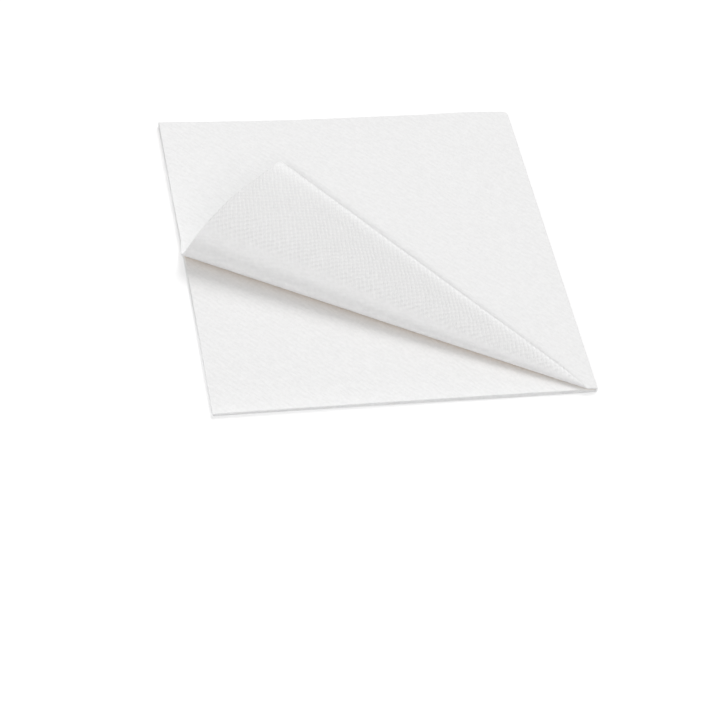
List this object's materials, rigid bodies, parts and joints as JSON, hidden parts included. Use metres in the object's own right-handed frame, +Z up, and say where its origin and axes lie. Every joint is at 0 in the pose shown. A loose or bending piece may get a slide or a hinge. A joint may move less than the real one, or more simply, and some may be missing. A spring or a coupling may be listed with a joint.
{
  "type": "paper napkin",
  "caption": "Square white embossed paper napkin folded into quarters, lying flat, with one corner of the top layer turned back over a soft conical roll.",
  "frame": {"origin": "middle of the napkin's underside, at the centre of its box", "axes": "+X towards the edge with two folds, +Y towards the edge with one fold round another, +Z up; the turned-back corner is at the -X, -Y side"},
  "size_m": [0.166, 0.1652, 0.018],
  "materials": {
    "tissue": "matt white embossed tissue"
  },
  "bodies": {
    "root": {"napkin": "tissue"}
  },
  "joints": []
}
